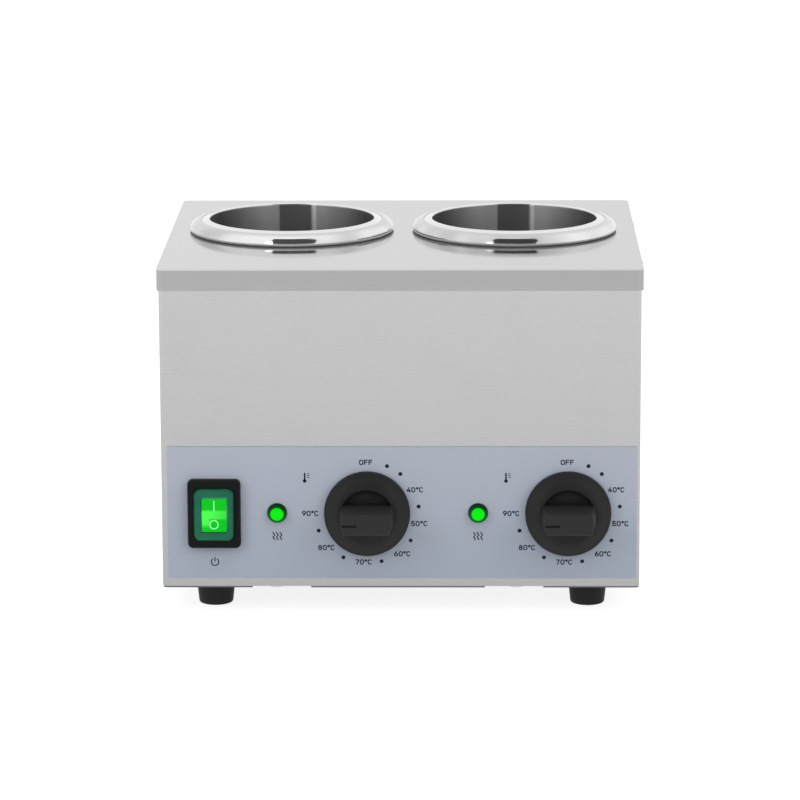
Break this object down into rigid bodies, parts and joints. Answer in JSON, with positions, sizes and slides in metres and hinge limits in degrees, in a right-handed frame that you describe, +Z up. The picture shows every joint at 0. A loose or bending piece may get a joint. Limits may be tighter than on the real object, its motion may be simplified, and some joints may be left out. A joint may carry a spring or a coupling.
{
  "type": "topping warmer",
  "caption": "Countertop topping warmer: brushed steel case with heated wells, lift-out pots, dial knobs, pilot lamps, a covered rocker switch and rubber feet.",
  "frame": {"origin": "centre of the bounding box, on the surface that the feet stand on", "axes": "+X to the right as seen from the front, +Y to the rear, +Z up; the controls face -Y"},
  "size_m": [0.3044, 0.3094, 0.2278],
  "materials": {
    "cover_steel": "brushed, satin",
    "case_steel": "brushed, satin",
    "base_steel": "mill finish",
    "well_steel": "drawn, matt",
    "pot_steel": "polished rim, fine turned wall inside",
    "fixings": "zinc plated",
    "heater_metal": "mica band heater, brass sheath",
    "insulation": "mineral fibre mat",
    "silicone": "red silicone",
    "overlay_print": "printed film, blue grey",
    "knob_plastic": "charcoal, satin",
    "black_plastic": "black, moulded",
    "grey_plastic": "moulded",
    "rocker_green": "lit from within",
    "boot_green": "clear soft green cover",
    "lens_green": "clear green, lit",
    "white_plastic": "moulded",
    "brass": "bare",
    "copper": "copper",
    "foot_rubber": "black rubber",
    "wire_brown": "insulated lead",
    "wire_blue": "insulated lead",
    "wire_white": "insulated lead",
    "wire_green": "insulated lead"
  },
  "bodies": {
    "case": {"top_cover": "cover_steel", "body_shell": "case_steel", "rear_panel": "case_steel", "base_plate": "base_steel", "control_overlay": "overlay_print", "well_left": "well_steel", "well_right": "well_steel", "well_seal_left": "silicone", "well_seal_right": "silicone", "well_studs": "fixings", "well_nuts": "fixings", "band_heater_left": "heater_metal", "band_heater_right": "heater_metal", "heater_screws": "fixings", "insulation_left": "insulation", "insulation_right": "insulation", "thermostat_left": "grey_plastic", "thermostat_right": "grey_plastic", "thermostat_screws": "fixings", "sensor_left": "copper", "sensor_right": "copper", "thermal_cutout_left": "black_plastic", "thermal_cutout_right": "black_plastic", "switch_frame": "black_plastic", "switch_body": "black_plastic", "switch_boot": "boot_green", "switch_terminals": "brass", "lamp_lens_left": "lens_green", "lamp_lens_right": "lens_green", "lamp_body_left": "white_plastic", "lamp_body_right": "white_plastic", "lamp_nuts": "fixings", "terminal_block": "white_plastic", "terminal_block_screws": "brass", "cable_gland": "black_plastic", "gland_cap": "black_plastic", "gland_locknut": "black_plastic", "gland_seal": "foot_rubber", "earth_stud": "brass", "earth_nuts": "brass", "foot_front_left": "foot_rubber", "foot_front_right": "foot_rubber", "foot_rear_left": "foot_rubber", "foot_rear_right": "foot_rubber", "foot_screws": "fixings", "foot_nuts": "fixings", "base_screws": "fixings", "cover_screws": "fixings", "rear_screws": "fixings", "wires_live": "wire_brown", "wires_neutral": "wire_blue", "wires_lamp": "wire_white", "wire_earth": "wire_green"},
    "knob_left": {"knob_left": "knob_plastic", "thermostat_shaft_left": "fixings"},
    "knob_right": {"knob_right": "knob_plastic", "thermostat_shaft_right": "fixings"},
    "rocker": {"switch_rocker": "rocker_green"},
    "pot_left": {"pot_left": "pot_steel"},
    "pot_right": {"pot_right": "pot_steel"}
  },
  "joints": [
    {"name": "knob_left_turn", "type": "hinge", "parent": "case", "child": "knob_left", "pos_m": [-0.0208, -0.1217, 0.0652], "axis": [0, 1, 0], "range_deg": [-270, 0]},
    {"name": "knob_right_turn", "type": "hinge", "parent": "case", "child": "knob_right", "pos_m": [0.1042, -0.1217, 0.0652], "axis": [0, 1, 0], "range_deg": [-270, 0]},
    {"name": "rocker_tilt", "type": "hinge", "parent": "case", "child": "rocker", "pos_m": [-0.1159, -0.1197, 0.0641], "axis": [1, 0, 0], "range_deg": [0, 12]},
    {"name": "pot_left_lift", "type": "slide", "parent": "case", "child": "pot_left", "axis": [0, 0, 1], "range_m": [0, 0.18]},
    {"name": "pot_right_lift", "type": "slide", "parent": "case", "child": "pot_right", "axis": [0, 0, 1], "range_m": [0, 0.18]}
  ]
}
